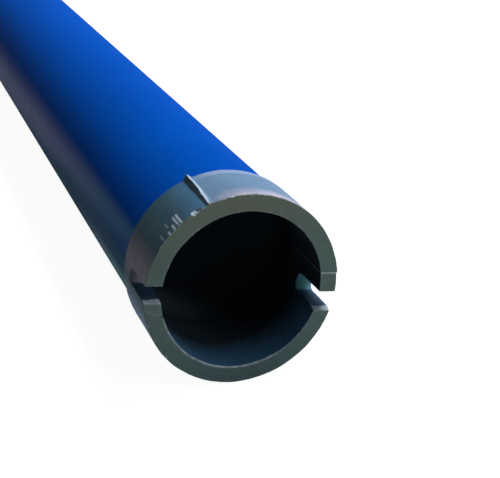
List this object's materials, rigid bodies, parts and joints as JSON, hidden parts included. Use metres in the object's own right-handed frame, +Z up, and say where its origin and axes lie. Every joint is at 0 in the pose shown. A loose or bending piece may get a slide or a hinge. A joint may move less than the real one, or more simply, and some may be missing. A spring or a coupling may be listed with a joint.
{
  "type": "diamond core bit",
  "caption": "Thin-walled core drill: a slotted, brazed diamond crown on a long painted tube, with a threaded hexagon coupling to screw on a drill spindle.",
  "frame": {"origin": "on the surface that the bit lies on, under the middle of its length", "axes": "+Y along the bit's axis from the cutting face to the spindle coupling, +Z up, +X to the right as seen from in front of the cutting face"},
  "size_m": [0.046, 0.488, 0.0421],
  "materials": {
    "crown_matrix": "dull sintered metal with fine grit, darker on the worn cutting face",
    "braze_metal": "bright silver braze, slightly uneven",
    "tube_paint": "glossy blue enamel with light handling marks",
    "coupling_steel": "turned steel, lightly oiled"
  },
  "bodies": {
    "root": {"crown_half_upper": "crown_matrix", "crown_half_lower": "crown_matrix", "silver_braze": "braze_metal", "core_tube": "tube_paint", "coupling_weld": "tube_paint", "spindle_coupling": "coupling_steel"}
  },
  "joints": []
}
